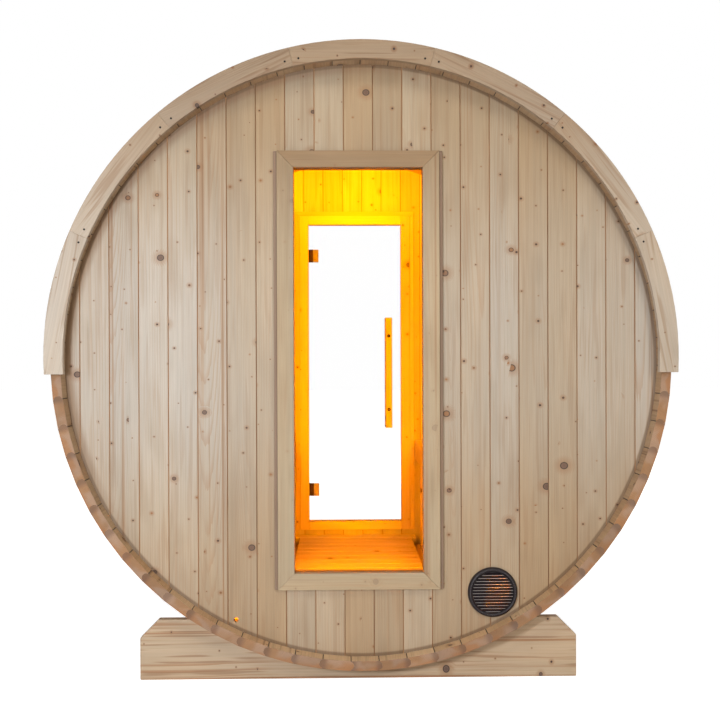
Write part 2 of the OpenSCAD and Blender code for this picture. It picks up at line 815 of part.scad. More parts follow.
// A board on edge with bevelled upper corners, hollowed to the round of the barrel
module cradle() {
    x = cradle_l / 2;
    color(SPRUCE_DARK) difference() {
        along_y(end_y - cradle_inset - cradle_t, end_y - cradle_inset) translate([-cradle_shift, 0])
            polygon([[-x, 0], [x, 0], [x, cradle_h - cradle_bevel], [x - cradle_bevel, cradle_h],
                     [-x + cradle_bevel, cradle_h], [-x, cradle_h - cradle_bevel]]);
        on_axis() disc(r_out_corner + FIT, 0, end_y);
    }
}

staves(0);  // staves_bottom
staves(1);  // staves_lower_left
staves(2);  // staves_upper_left
staves(3);  // staves_top
staves(4);  // staves_upper_right
staves(5);  // staves_lower_right
front_wall_left();
front_wall_right();
front_wall_over_window();
front_wall_under_window();
rear_wall_side(-1);  // rear_wall_left
rear_wall_side(1);  // rear_wall_right
rear_wall_over_door();
rear_wall_under_door();
window_jambs();
window_glass();
window_beads();
window_casing();
window_side_battens();
vent_grille();
door_frame();
door_casing();
door_inner_strips();
door_hinge_bases();
door_glass();
door_hinge_leaves();
door_handle_inner();
door_handle_outer();
door_handle_bolts();
floor_slats();
floor_bearers();
bench_seat();  // bench_right_seat
bench_apron();  // bench_right_apron
bench_frame();  // bench_right_frame
to_left() bench_seat();  // bench_left_seat
to_left() bench_apron();  // bench_left_apron
to_left() bench_frame();  // bench_left_frame
to_front() fascia();  // fascia_front
fascia();  // fascia_rear
roof_courses_right();
to_left() roof_courses_right();  // roof_courses_left
roof_ridge_cap();
barrel_bands();
to_front() cradle();  // cradle_front
cradle();  // cradle_rear
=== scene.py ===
import math
import random

import bpy
from mathutils import Matrix, Vector


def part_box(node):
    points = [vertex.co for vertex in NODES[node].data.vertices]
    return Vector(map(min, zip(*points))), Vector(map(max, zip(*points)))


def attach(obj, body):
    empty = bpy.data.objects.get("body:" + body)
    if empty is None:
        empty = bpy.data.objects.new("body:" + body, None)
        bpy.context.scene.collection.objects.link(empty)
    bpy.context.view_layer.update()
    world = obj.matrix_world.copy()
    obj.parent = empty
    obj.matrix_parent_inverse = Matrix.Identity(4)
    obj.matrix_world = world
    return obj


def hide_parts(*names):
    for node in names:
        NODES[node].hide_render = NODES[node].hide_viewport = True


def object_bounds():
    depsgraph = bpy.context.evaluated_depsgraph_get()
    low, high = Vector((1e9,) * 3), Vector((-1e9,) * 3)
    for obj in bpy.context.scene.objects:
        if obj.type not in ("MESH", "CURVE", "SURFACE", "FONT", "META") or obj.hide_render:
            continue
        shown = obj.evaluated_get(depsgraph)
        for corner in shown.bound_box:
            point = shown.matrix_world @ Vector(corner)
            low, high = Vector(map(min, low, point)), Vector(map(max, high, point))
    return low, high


# The looks of a barrel sauna house: timber with its grain laid board by board, glass, black fittings,
# shingles, the amber light inside, and a plain studio round it. Metres; X is to the right and Z up as
# seen from the window end, and the barrel's axis runs along Y.

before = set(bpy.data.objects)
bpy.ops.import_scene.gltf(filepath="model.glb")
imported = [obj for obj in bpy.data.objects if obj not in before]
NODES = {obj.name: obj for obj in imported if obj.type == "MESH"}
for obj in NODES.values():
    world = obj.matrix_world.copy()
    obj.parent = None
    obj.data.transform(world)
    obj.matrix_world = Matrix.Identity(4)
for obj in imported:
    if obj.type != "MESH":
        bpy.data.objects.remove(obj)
CAD_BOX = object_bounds()

X, Y, Z = Vector((1, 0, 0)), Vector((0, 1, 0)), Vector((0, 0, 1))


# ------------------------------------------------------------------ places

def low(node):
    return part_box(node)[0]


def high(node):
    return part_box(node)[1]


# The barrel, and the end walls in it
AXIS_Z = (low("staves_bottom")[2] + high("staves_top")[2]) / 2
BARREL_END = high("staves_bottom")[1]
BARREL_RADIUS = 1.113
WALL_RADIUS = -low("front_wall_left")[0]
WALL_FACE = -low("front_wall_left")[1]

# Boards of the end walls: their width, the place of one joint, and the lot that their figure comes from
BOARD_PITCH = 0.1065
BOARD_JOINT_X = 0.0402
WALL_LOT = 6032

# Boards of a fascia, the angle that each spans, how far their centre lies above the axis, and how far the
# lowest ones reach below it
FASCIA_BOARDS = 7
FASCIA_STEP = math.radians(26.6)
FASCIA_LIFT = 0.013
FASCIA_END_DROP = 0.044

# Courses of shingles on each side of the ridge cap, by their angles
COURSES = 12
RIDGE_HALF = math.radians(4.5)
COURSE_STEP = (math.pi / 2 + math.asin(FASCIA_END_DROP / BARREL_RADIUS) - RIDGE_HALF) / COURSES


# ------------------------------------------------------------------ shader maths

class Value:
    """A socket of a material's node tree. Python's operators on it add Math nodes."""

    def __init__(self, shader, socket):
        self.shader = shader
        self.socket = socket

    def _math(self, operation, *values):
        return self.shader.node("ShaderNodeMath", {"operation": operation}, dict(enumerate(values)))

    def __add__(self, other):
        return self._math("ADD", self, other)

    def __radd__(self, other):
        return self._math("ADD", other, self)

    def __sub__(self, other):
        return self._math("SUBTRACT", self, other)

    def __rsub__(self, other):
        return self._math("SUBTRACT", other, self)

    def __mul__(self, other):
        return self._math("MULTIPLY", self, other)

    def __rmul__(self, other):
        return self._math("MULTIPLY", other, self)

    def __truediv__(self, other):
        return self._math("DIVIDE", self, other)

    def root(self):
        return self._math("SQRT", self)

    def sine(self):
        return self._math("SINE", self)

    def whole(self):
        return self._math("FLOOR", self)

    def wrapped(self):
        return self._math("FRACT", self)

    def angle(self, other):
        """Angle of a vector that is this long upwards and that long sideways."""
        return self._math("ARCTAN2", self, other)

    def most(self, other):
        return self._math("MAXIMUM", self, other)

    def between(self, start, end):
        """0 at start and before it, 1 at end and past it, with a soft step between them. Start may be the
        higher of the two."""
        settings = {"interpolation_type": "SMOOTHSTEP"}
        values = {"Value": self, "From Min": start, "From Max": end}
        return self.shader.node("ShaderNodeMapRange", settings, values, "Result")

    def part(self, name):
        """X, Y or Z of a vector."""
        return self.shader.node("ShaderNodeSeparateXYZ", {}, {"Vector": self}, name)


class Shader:
    """A material with a Principled shader, and a method that adds any other node."""

    def __init__(self, name, **constants):
        self.material = bpy.data.materials.new(name)
        self.material.use_nodes = True
        self.tree = self.material.node_tree
        self.surface = self.tree.nodes["Principled BSDF"]
        for socket, value in constants.items():
            self.surface.inputs[socket.replace("_", " ")].default_value = value

    def node(self, kind, settings, values, output=0):
        made = self.tree.nodes.new(kind)
        for key, value in settings.items():
            setattr(made, key, value)
        for key, value in values.items():
            self.join(made.inputs[key], value)
        return Value(self, made.outputs[output])

    def join(self, socket, value):
        if isinstance(value, Value):
            self.tree.links.new(value.socket, socket)
        else:
            socket.default_value = value

    def set(self, name, value):
        self.join(self.surface.inputs[name], value)

    def attribute(self, name):
        return self.node("ShaderNodeAttribute", {"attribute_name": name}, {}, "Vector")

    def place(self):
        return self.node("ShaderNodeTexCoord", {}, {}, "Object")

    def vector(self, x, y, z):
        return self.node("ShaderNodeCombineXYZ", {}, {"X": x, "Y": y, "Z": z})

    def noise(self, where, scale=1.0, detail=1.0, roughness=0.5):
        """Soft noise, with that many waves a metre."""
        values = {"Vector": where, "Scale": scale, "Detail": detail, "Roughness": roughness}
        return self.node("ShaderNodeTexNoise", {}, values, "Fac")

    def blend(self, share, start, end, how="MIX"):
        """A colour between two others, or one laid on another."""
        made = self.tree.nodes.new("ShaderNodeMix")
        made.data_type = "RGBA"
        made.blend_type = how
        for key, value in (("Factor_Float", share), ("A_Color", start), ("B_Color", end)):
            socket = next(s for s in made.inputs if s.identifier == key)
            self.join(socket, (*value, 1.0) if isinstance(value, tuple) and len(value) == 3 else value)
        return Value(self, next(s for s in made.outputs if s.identifier == "Result_Color"))

    def grey(self, level):
        """A colour of equal parts."""
        return self.node("ShaderNodeCombineColor", {}, {0: level, 1: level, 2: level})

    def bump(self, height, distance, strength):
        values = {"Height": height, "Distance": distance, "Strength": strength}
        self.set("Normal", self.node("ShaderNodeBump", {}, values, "Normal"))


# ------------------------------------------------------------------ timber

class Grain:
    """Where a point lies in its board, and what grows there: the rings that a board is sawn across, and
    its knots. Each board comes from its own place in a trunk. The pith lies at some depth behind its face
    and is tilted to it, so that the rings run straight on one board and close into arches on the next."""

    def __init__(self, s, ring_width, wander):
        self.s = s
        place = s.attribute("grain")
        self.across, self.depth, self.along = place.part("X"), place.part("Y"), place.part("Z")
        board = s.attribute("board")
        self.first, self.second, self.third = board.part("X"), board.part("Y"), board.part("Z")
        self.pins = self.knots(pitch_across=0.070, pitch_along=0.15,
                               smallest=0.0012, largest=0.0044, share=0.65)
        self.large = self.knots(pitch_across=0.14, pitch_along=0.42,
                                smallest=0.0060, largest=0.0120, share=0.40)

        drift = self.noise(across=2, along=0.8, seed=9)
        self.fine = self.noise(across=150, along=2.0, seed=3, detail=2.0)
        aside, sway, least_depth, more_depth, tilt = 0.13, 0.05, 0.036, 0.12, 0.05
        pith_across = self.across - (self.first - 0.5) * aside - (drift - 0.5) * sway
        pith_depth = self.depth + least_depth + self.second * self.second * more_depth
        pith_depth = pith_depth + self.along * (self.third - 0.5) * tilt
        radius = (pith_across * pith_across + pith_depth * pith_depth).root()
        pin_bend, knot_bend, ripple = 0.003, 0.012, 0.3
        bend = self.pins["halo"] * pin_bend + self.large["halo"] * knot_bend
        radius = radius + (drift - 0.5) * wander + bend + (self.fine - 0.5) * ring_width * ripple
        narrowest, range_of_widths = 0.45, 0.9
        width = (self.third * range_of_widths + narrowest) * ring_width

        # Late wood is the outer part of a ring: it comes slowly, and the next ring starts at once
        age = (radius / width).wrapped()
        self.late = age.between(0.5, 0.95) * age.between(1.0, 0.96)

    def noise(self, across, along, seed, detail=1.0, roughness=0.5):
        """Noise stretched along the grain, in waves a metre across it and along it."""
        where = self.s.vector(self.across * across + self.first * seed * 7, self.depth * across,
                              self.along * along + self.second * seed * 13)
        return self.s.noise(where, detail=detail, roughness=roughness)

    def knots(self, pitch_across, pitch_along, smallest, largest, share):
        """Knots scattered over a grid of about that pitch, a share of whose cells have one. Of a knot's
        measures, off is the distance from its middle in radii, and tone is a chance number."""
        s = self.s
        oval, halo_reach, none = 0.8, 3.6, 0.00001
        where = s.vector(self.across / pitch_across + self.first * 37, self.depth * 2 + self.second * 19,
                         self.along / pitch_along + self.third * 53)
        settings = {"voronoi_dimensions": "3D", "feature": "F1"}
        values = {"Vector": where, "Scale": 1.0, "Randomness": 0.9}
        cell = s.node("ShaderNodeTexVoronoi", settings, values, "Position")
        chance = s.node("ShaderNodeTexVoronoi", settings, values, "Color")
        offset = s.node("ShaderNodeVectorMath", {"operation": "SUBTRACT"}, {0: where, 1: cell})
        off_across = offset.part("X") * pitch_across
        off_along = offset.part("Z") * pitch_along
        off = (off_across * off_across * oval + off_along * off_along).root()
        there = chance.part("X").between(1 - share, 1.02 - share)
        tone = chance.part("Y")
        r = (tone * tone * (largest - smallest) + smallest) * there + none
        return {"wood": off.between(r * 1.15, r * 0.85), "core": off.between(r * 0.95, r * 0.4),
                "ring": off.between(r * 0.72, r * 0.92) * off.between(r * 1.25, r * 1.0),
                "halo": off.between(r * halo_reach, r) * there, "tone": chance.part("Z"), "off": off / r}


def scaled(colour, level):
    """A colour made darker or lighter."""
    return tuple(part * level for part in colour)


def timber(name, colours, line, ring_width, lines, knots=1.0, streaks=1.0, flames=0.0, shade=None):
    """Planed softwood. Its boards range over three colours; line is the colour of late wood, of streaks
    along the grain and of short flames. How much shows of each is given by lines, streaks and flames, and
    of the knots by knots; shade is a function that makes a colour to lay over them all."""
    s = Shader(name)
    g = Grain(s, ring_width, wander=0.03)
    cloud = g.noise(across=6, along=1.1, seed=5, detail=2.0)
    patch = g.noise(across=14, along=4.0, seed=11)
    streak = g.noise(across=60, along=0.45, seed=7, detail=2.0, roughness=0.6)
    fibre = g.noise(across=420, along=6.0, seed=2, detail=2.0, roughness=0.6)
    flame = g.noise(across=75, along=3.0, seed=23)
    brown, orange, black = (0.130, 0.060, 0.034), (0.36, 0.165, 0.062), (0.024, 0.011, 0.008)
    rose = (0.210, 0.125, 0.090)

    # The colour of the board, in clouds and patches
    pick = g.first + (cloud - 0.5) * 0.8
    ground = s.blend(pick.between(0.15, 0.5), colours[0], colours[1])
    ground = s.blend(pick.between(0.5, 0.95), ground, colours[2])
    ground = s.blend(patch.between(0.45, 0.8) * 0.4, ground, scaled(colours[2], 0.78))

    # Streaks with a darker heart, the rings' late wood in some stretches, fibres and flames
    much = (g.second * g.second * 1.1 + 0.10) * streaks
    ground = s.blend(streak.between(0.54, 0.74) * much, ground, line)
    ground = s.blend(streak.between(0.66, 0.80) * much * 0.8, ground, scaled(line, 0.55))
    shown = g.noise(across=9, along=1.6, seed=17).between(0.42, 0.62) * 0.9 + 0.1
    ground = s.blend(g.late * shown * (g.second * 0.6 + 0.4) * lines, ground, line)
    ground = s.blend(fibre.between(0.45, 0.75) * 0.20, ground, line)
    if flames:
        ground = s.blend(flame.between(0.56, 0.68) * flames, ground, scaled(line, 0.8))

    # Knots: a halo, then wood, then a black core; large ones have rings and a black rim too
    for kind, halo, heart, depth in ((g.large, 0.42, rose, 0.35), (g.pins, 0.46, brown, 0.85)):
        ground = s.blend(kind["halo"] * halo * knots, ground, orange)
        wood = s.blend(kind["tone"].between(0.1, 0.4), orange, heart)
        ground = s.blend(kind["wood"] * 0.92 * knots, ground, wood)
        ground = s.blend(kind["core"] * kind["tone"].between(0.15, 0.6) * depth * knots, ground, black)
    rings = ((g.large["off"] * 14).sine() * 0.5 + 0.5) * g.large["wood"]
    ground = s.blend(rings * 0.25 * knots, ground, brown)
    ground = s.blend(g.large["ring"] * 0.85 * knots, ground, black)

    if shade:
        ground = s.blend(1.0, ground, shade(s), "MULTIPLY")
    tone = 1.0 - (1.0 - g.third) * 0.07 - cloud.between(0.7, 0.3) * 0.10 - g.fine.between(0.7, 0.3) * 0.08
    s.set("Base Color", s.blend(1.0, ground, s.grey(tone), "MULTIPLY"))
    s.set("Roughness", (cloud - 0.5) * 0.1 + 0.62 - g.late * 0.08)
    s.bump(g.late * 0.6 + g.fine * 0.4 - g.large["wood"] * 0.4 + fibre * 0.2, distance=0.0005, strength=0.6)
    return s.material


def end_grain(name, ground_colour, grey, rust, contrast, bead=0.0):
    """Sawn ends: close arcs of rings, and blotches where the saw burnt or polished them. A stave's is
    darker towards its bead, which faces up: a painted shade beside its joint with the next stave."""
    s = Shader(name)
    g = Grain(s, ring_width=0.0042, wander=0.006)
    clouds = s.vector(g.across * 18 + g.first * 41, g.depth * 18 + g.second * 13, g.third * 29)
    blotch = s.noise(clouds)
    slope = 0.6
    strokes = s.vector((g.across + g.depth * slope) * 340, (g.depth - g.across * slope) * 40, g.third * 9)
    saw = s.noise(strokes)
    slant = g.across * 24 * (g.second - 0.35) + g.depth * 34 * (g.first - 0.3) + blotch * 1.5
    colour = s.blend(slant.between(0.5, 0.9), ground_colour, grey)
    other = g.across * -26 * (g.first - 0.4) + g.depth * 20 + blotch * 1.2
    colour = s.blend(other.between(0.65, 1.0) * contrast, colour, rust)
    colour = s.blend(g.late * 0.30 * contrast, colour, scaled(rust, 0.5))
    # Painted shade, darkest at the bead edge of each stave's end, beside its joint.
    upwards = g.across * (s.place().part("X").between(-0.01, 0.01) * 2.0 - 1.0)
    bead_start, bead_top, bead_shade_colour = 0.024, 0.048, (0.150, 0.082, 0.055)
    colour = s.blend(upwards.between(bead_start, bead_top) * bead, colour, bead_shade_colour)
    tone = 1.0 - (1.0 - g.third) * 0.2 - blotch.between(0.6, 0.2) * 0.14 - saw.between(0.55, 0.8) * 0.12
    s.set("Base Color", s.blend(1.0, colour, s.grey(tone), "MULTIPLY"))
    s.set("Roughness", blotch * 0.2 + 0.62)
    s.bump(g.late + saw, distance=0.0004, strength=0.5)
    return s.material


UNSHADED = (1.0, 1.0, 1.0)


def painted_wall_shade(s):
    """On the outside of an end wall, painted shade: warmer and darker towards the top and the bottom, a
    painted shadow in brown along the left of the croze, and darkest painted shade in the seam beside it."""
    place = s.place()
    x, y, height = place.part("X"), place.part("Y"), place.part("Z") - AXIS_Z
    # Painted shade: darker and warmer towards the top and the bottom of the wall.
    shade = s.blend(height.between(0.2, 0.9), UNSHADED, (0.83, 0.73, 0.58))
    shade = s.blend(height.between(-0.1, -0.75), shade, (0.94, 0.83, 0.68))
    off = (x * x + height * height).root()
    # Painted shadow of the staves' edge, in brown, along the upper left of the wall.
    rim = off.between(WALL_RADIUS - 0.055, WALL_RADIUS - 0.020)
    left_and_up = height.between(-0.7, -0.2) * x.between(0.5, -0.4)
    shade = s.blend(rim * left_and_up, shade, (0.60, 0.46, 0.34))
    # Painted shade, dark, in the seam where the wall meets the staves.
    seam = off.between(WALL_RADIUS - 0.024, WALL_RADIUS - 0.016)
    shade = s.blend(seam * 0.8, shade, (0.38, 0.27, 0.18))
    outside = (y * y).root().between(WALL_FACE - 0.02, WALL_FACE - 0.01)
    return s.blend(outside, UNSHADED, shade)


def painted_top_shade(s):
    """Painted shade: warmer and darker towards the top of the house."""
    height = s.place().part("Z") - AXIS_Z
    return s.blend(height.between(0.2, 1.1), UNSHADED, (0.56, 0.46, 0.35))


def painted_stave_light(s):
    """Painted light: staves are palest at the bottom of the barrel, where the light from above falls, and
    darker from there up.
    """
    height = s.place().part("Z") - AXIS_Z
    return s.blend(height.between(-0.95, -0.45), UNSHADED, (0.69, 0.69, 0.70))


def shades(colour, *levels):
    """The same colour at several levels."""
    return tuple(scaled(colour, level) for level in levels)


WALL_COLOURS = ((0.565, 0.505, 0.435), (0.530, 0.452, 0.364), (0.500, 0.400, 0.290))
TRIM_COLOURS = ((0.500, 0.388, 0.250), (0.472, 0.345, 0.205), (0.450, 0.312, 0.178))
# The side battens' dark brown is painted shade, for the strips beside the window casing that lie in its
# shadow.
BATTEN_COLOURS = shades((0.250, 0.165, 0.110), 1.1, 1.0, 0.9)
JOINT_COLOURS = shades((0.420, 0.235, 0.115), 1.1, 0.9, 0.7)
GAP_COLOURS = shades((0.022, 0.012, 0.007), 1.2, 1.0, 0.8)
STAVE_COLOURS = ((0.720, 0.500, 0.300), (0.675, 0.440, 0.250), (0.630, 0.395, 0.210))
FASCIA_COLOURS = ((0.645, 0.572, 0.500), (0.612, 0.522, 0.426), (0.590, 0.480, 0.370))
CRADLE_COLOURS = ((0.680, 0.545, 0.395), (0.635, 0.480, 0.325), (0.600, 0.425, 0.270))
CABIN_COLOURS = ((0.700, 0.560, 0.400), (0.660, 0.500, 0.330), (0.620, 0.450, 0.280))
LATE_WOOD = (0.420, 0.235, 0.115)
DARK_LINE = (0.270, 0.130, 0.062)
GAP_LINE = (0.04, 0.02, 0.01)
CRADLE_LINE = (0.41, 0.198, 0.086)
CABIN_LINE = (0.48, 0.28, 0.14)

wall_timber = timber("planed wall boards", WALL_COLOURS, LATE_WOOD, ring_width=0.0075, lines=0.42,
                     streaks=0.65, flames=0.2, shade=painted_wall_shade)
trim_timber = timber("planed trim", TRIM_COLOURS, LATE_WOOD, ring_width=0.007, lines=0.35, knots=0.2,
                     streaks=1.3, flames=0.2, shade=painted_top_shade)
batten_timber = timber("side battens", BATTEN_COLOURS, DARK_LINE, ring_width=0.010, lines=0.3, knots=0.5)
joint_timber = timber("wall joints", JOINT_COLOURS, DARK_LINE, ring_width=0.012, lines=0.3)
gap_timber = timber("stave joints", GAP_COLOURS, GAP_LINE, ring_width=0.012, lines=0.3)
stave_timber = timber("staves", STAVE_COLOURS, DARK_LINE, ring_width=0.010, lines=0.35, shade=painted_stave_light)
fascia_timber = timber("fascia boards", FASCIA_COLOURS, LATE_WOOD, ring_width=0.008, lines=0.45, knots=1.4,
                       streaks=0.6, flames=0.45, shade=painted_top_shade)
cradle_timber = timber("cradle timber", CRADLE_COLOURS, CRADLE_LINE, ring_width=0.013, lines=0.9, knots=1.1,
                       streaks=2.4, flames=0.6)
cabin_timber = timber("cabin boards", CABIN_COLOURS, CABIN_LINE, ring_width=0.009, lines=0.4)
handle_timber = timber("door handle", CABIN_COLOURS, LATE_WOOD, ring_width=0.008, lines=0.35, knots=0.2)
stave_ends = end_grain("sawn stave ends", (0.400, 0.212, 0.100), grey=(0.430, 0.270, 0.175),
                       rust=(0.410, 0.187, 0.074), contrast=0.8, bead=0.6)
board_ends = end_grain("sawn board ends", (0.46, 0.33, 0.21), grey=(0.44, 0.33, 0.24),
                       rust=(0.41, 0.25, 0.13), contrast=0.6)


# ------------------------------------------------------------------ other finishes

def plain_glass():
    """The panes, as clear as clean glass is; its low refraction keeps what stands behind it in place."""
    s = Shader("clear glass", Base_Color=(1.0, 1.0, 1.0, 1.0), Roughness=0.0, IOR=1.1,
               Transmission_Weight=1.0)
    return s.material


def black_plastic():
    s = Shader("black vent plastic", Specular_IOR_Level=0.25)
    speckle = s.noise(s.place(), scale=900.0)
    tone = speckle.between(0.3, 0.8) * 0.006 + 0.010
    s.set("Base Color", s.node("ShaderNodeCombineColor", {}, {0: tone * 1.35, 1: tone, 2: tone * 1.2}))
    s.set("Roughness", speckle * 0.1 + 0.34)
    s.bump(speckle, distance=0.0001, strength=0.3)
    return s.material


def lit_louvre_edges():
    """The outer edges of the louvres in light grey: a painted highlight where the light catches them."""
    s = Shader("weathered louvre edges", Specular_IOR_Level=0.3)
    tone_noise = s.noise(s.place(), scale=60.0, detail=3.0)
    # Painted highlight in light grey on the louvres' edges.
    s.set("Base Color", s.blend(tone_noise.between(0.3, 0.7), (0.420, 0.400, 0.400), (0.560, 0.540, 0.535)))
    s.set("Roughness", tone_noise * 0.2 + 0.5)
    return s.material


def black_screws():
    s = Shader("blackened screws", Specular_IOR_Level=0.2)
    tone_noise = s.noise(s.place(), scale=700.0, detail=2.0)
    s.set("Base Color", s.blend(tone_noise.between(0.4, 0.8), (0.010, 0.008, 0.008), (0.028, 0.020, 0.016)))
    s.set("Roughness", tone_noise * 0.2 + 0.45)
    return s.material


def brushed(s):
    """Fine lines that lie across the length of the house."""
    along, across = 8, 900
    place = s.place()
    where = s.vector(place.part("X") * along, place.part("Y") * across, place.part("Z") * along)
    return s.noise(where, detail=2.0)


def steel():
    s = Shader("stainless steel", Metallic=1.0)
    brush = brushed(s)
    tone = brush.between(0.2, 0.8) * 0.10 + 0.68
    s.set("Base Color", s.node("ShaderNodeCombineColor", {}, {0: tone, 1: tone, 2: tone * 1.01}))
    s.set("Roughness", brush * 0.15 + 0.30)
    return s.material


def hinge_steel():
    """Brushed steel, with a painted shade, near black, on the strip that the knuckles shade."""
    s = Shader("hinge plates", Metallic=0.8)
    brush = brushed(s)
    plain = s.grey(brush.between(0.2, 0.8) * 0.10 + 0.62)
    # Painted shade on the plates next to the knuckles.
    strip_width, soft_edge = 0.049, 0.002
    strip_end = low("door_hinge_leaves")[0] + strip_width
    strip = s.place().part("X").between(strip_end, strip_end - soft_edge)
    s.set("Base Color", s.blend(strip, plain, (0.11, 0.065, 0.045)))
    s.set("Roughness", brush * 0.15 + 0.30)
    return s.material


def handle_bolts():
    """Where the two bolts of the handles are: their X, the height midway between them, half the distance
    from one to the other, and their radius."""
    lowest, highest = low("door_handle_bolts"), high("door_handle_bolts")
    radius = (highest[0] - lowest[0]) / 2
    return lowest[0] + radius, (lowest[2] + highest[2]) / 2, (highest[2] - lowest[2]) / 2 - radius, radius


def bolt_steel():
    """The heads of the handles' bolts: a bright pin within a black ring, a painted shade for the recess
    round the head.
    """
    s = Shader("handle bolts", Metallic=1.0, Roughness=0.3)
    middle_x, middle_z, half_apart, _ = handle_bolts()
    place = s.place()
    x = place.part("X") - middle_x
    height = place.part("Z") - middle_z
    z = (height * height).root() - half_apart
    pin_r, shade_r = 0.0014, 0.0026
    # Painted shade: a black ring round the pin.
    recess_shade = (x * x + z * z).root().between(pin_r, shade_r)
    s.set("Base Color", s.blend(recess_shade, (0.72, 0.71, 0.70), (0.006, 0.005, 0.004)))
    return s.material


def shingle():
    """Mineral granules on bitumen, in tabs with slots between them, each a little lighter or darker."""
    s = Shader("mineral shingles")
    tab_width, slot_width = 0.200, 0.006
    place = s.place()
    grit = s.noise(place, scale=900.0)
    fleck = s.noise(place, scale=260.0, detail=2.0)
    patch = s.noise(place, scale=5.0, detail=2.0)
    turn = place.part("X").angle(place.part("Z") - AXIS_Z)
    course = ((turn * turn).root() / COURSE_STEP - RIDGE_HALF / COURSE_STEP).whole()
    row = place.part("Y") / tab_width + course * 0.5
    edge = (row.wrapped() - 0.5) * (row.wrapped() - 0.5)
    slot = edge.between((0.5 - slot_width / tab_width) ** 2, 0.5 ** 2)
    right = turn.between(-0.01, 0.01)
    lot = s.noise(s.vector(row.whole() * 3.7, course * 5.3, right * 9.1), detail=0.0)
    colour = s.blend(fleck.between(0.35, 0.7), (0.095, 0.062, 0.045), (0.200, 0.135, 0.098))
    colour = s.blend(lot.between(0.3, 0.7) * 0.6 + patch * 0.2, colour, (0.055, 0.040, 0.034))
    colour = s.blend(slot * 0.85, colour, (0.012, 0.010, 0.009))
    s.set("Base Color", colour)
    s.set("Roughness", grit * 0.1 + 0.85)
    s.bump(grit * 0.5 + fleck * 0.3 - slot * 3.0, distance=0.0012, strength=0.7)
    return s.material


clear_glass = plain_glass()
vent_black = black_plastic()
louvre_highlight = lit_louvre_edges()
screw_black = black_screws()
plain_steel = steel()
plate_steel = hinge_steel()
bolt_heads = bolt_steel()
roof_shingle = shingle()


# ------------------------------------------------------------------ pieces

MERGE_DISTANCE = 1e-5
FLAT_ANGLE = math.radians(0.3)
SMOOTH_ANGLE = math.radians(35)
SHARP_ANGLE = math.radians(40)

# How much of a normal points one way when its face slopes that way, is turned to it, or is square to it
SLOPED, FACING, SQUARE = 0.3, 0.7, 0.95


def only(piece):
    """Makes a piece the only selected and active one."""
    bpy.ops.object.select_all(action="DESELECT")
    piece.select_set(True)
    bpy.context.view_layer.objects.active = piece


def merged_copy(node, name):
    """A copy of a node's mesh as one skin, with flat faces in place of their triangles."""
    piece = bpy.data.objects.new(name, NODES[node].data.copy())
    bpy.context.collection.objects.link(piece)
    piece.data.materials.clear()
    only(piece)
    bpy.ops.object.mode_set(mode="EDIT")
    bpy.ops.mesh.select_all(action="SELECT")
    bpy.ops.mesh.remove_doubles(threshold=MERGE_DISTANCE)
    bpy.ops.mesh.dissolve_limited(angle_limit=FLAT_ANGLE)
    bpy.ops.object.mode_set(mode="OBJECT")
    bpy.ops.mesh.customdata_custom_splitnormals_clear()
    bpy.ops.object.shade_smooth_by_angle(angle=SMOOTH_ANGLE)
    return piece


def ease(piece, width, segments=2):
    """Rounds the sharp edges, as sanding does."""
    only(piece)
    bevel = piece.modifiers.new("eased edges", "BEVEL")
    bevel.width = width
    bevel.segments = segments
    bevel.limit_method = "ANGLE"
    bevel.angle_limit = SHARP_ANGLE
    bpy.ops.object.modifier_apply(modifier=bevel.name)
    bpy.ops.object.shade_smooth_by_angle(angle=SMOOTH_ANGLE)


def parts_of(mesh):
    """For each vertex, the number of the loose part that it belongs to."""
    parent = list(range(len(mesh.vertices)))

    def top(i):
        while parent[i] != i:
            parent[i] = parent[parent[i]]
            i = parent[i]
        return i

    for edge in mesh.edges:
        a, b = top(edge.vertices[0]), top(edge.vertices[1])
        parent[a] = b
    return [top(i) for i in range(len(parent))]


def part_boxes(mesh, part):
    """The middle and the size of each loose part."""
    corners = {}
    for vertex, number in zip(mesh.vertices, part):
        lowest, highest = corners.setdefault(number, (vertex.co.copy(), vertex.co.copy()))
        for axis in range(3):
            lowest[axis] = min(lowest[axis], vertex.co[axis])
            highest[axis] = max(highest[axis], vertex.co[axis])
    return {number: ((a + b) / 2, b - a) for number, (a, b) in corners.items()}


# The layouts below say, for a face of a loose part, which board it belongs to, where that board's own frame
# starts, and which way lie its length and its width.

def by_longest_side(name, face, part, centre, size):
    """A straight board: its grain runs along its longest side. A nearly square one lies with its face to
    the ends of the house."""
    nearly_square = 1.5
    axes = sorted(range(3), key=lambda axis: size[axis])
    if axes[1] == 1 and size[axes[1]] < nearly_square * size[axes[0]]:
        axes[0], axes[1] = axes[1], axes[0]
    along, across = Vector((0, 0, 0)), Vector((0, 0, 0))
    along[axes[2]] = 1
    across[axes[1]] = 1
    return f"{name} board {part}", centre, along, across


def by_wall_board(name, face, part, centre, size):
    """An end wall's upright boards, each of which goes on from one part of the wall to the next."""
    number = math.floor((face.x - BOARD_JOINT_X) / BOARD_PITCH)
    end = -1 if centre.y < 0 else 1
    origin = Vector((BOARD_JOINT_X + (number + 0.5) * BOARD_PITCH, centre.y, AXIS_Z))
    return f"wall {end} board {number} of lot {WALL_LOT}", origin, Z, X


def by_stave(name, face, part, centre, size):
    """Staves round the barrel's axis."""
    return f"{name} {part}", centre, Y, round_axis(centre)[1]


def by_arch_board(name, face, part, centre, size):
    """A board of an arch, cut from a straight plank."""
    outwards, sideways = round_axis(centre)
    return f"{name} {part}", centre, sideways, outwards


def round_axis(place):
    """Outwards from the barrel's axis at a place, and round it."""
    outwards = Vector((place.x, 0, place.z - AXIS_Z)).normalized()
    return outwards, outwards.cross(Y)


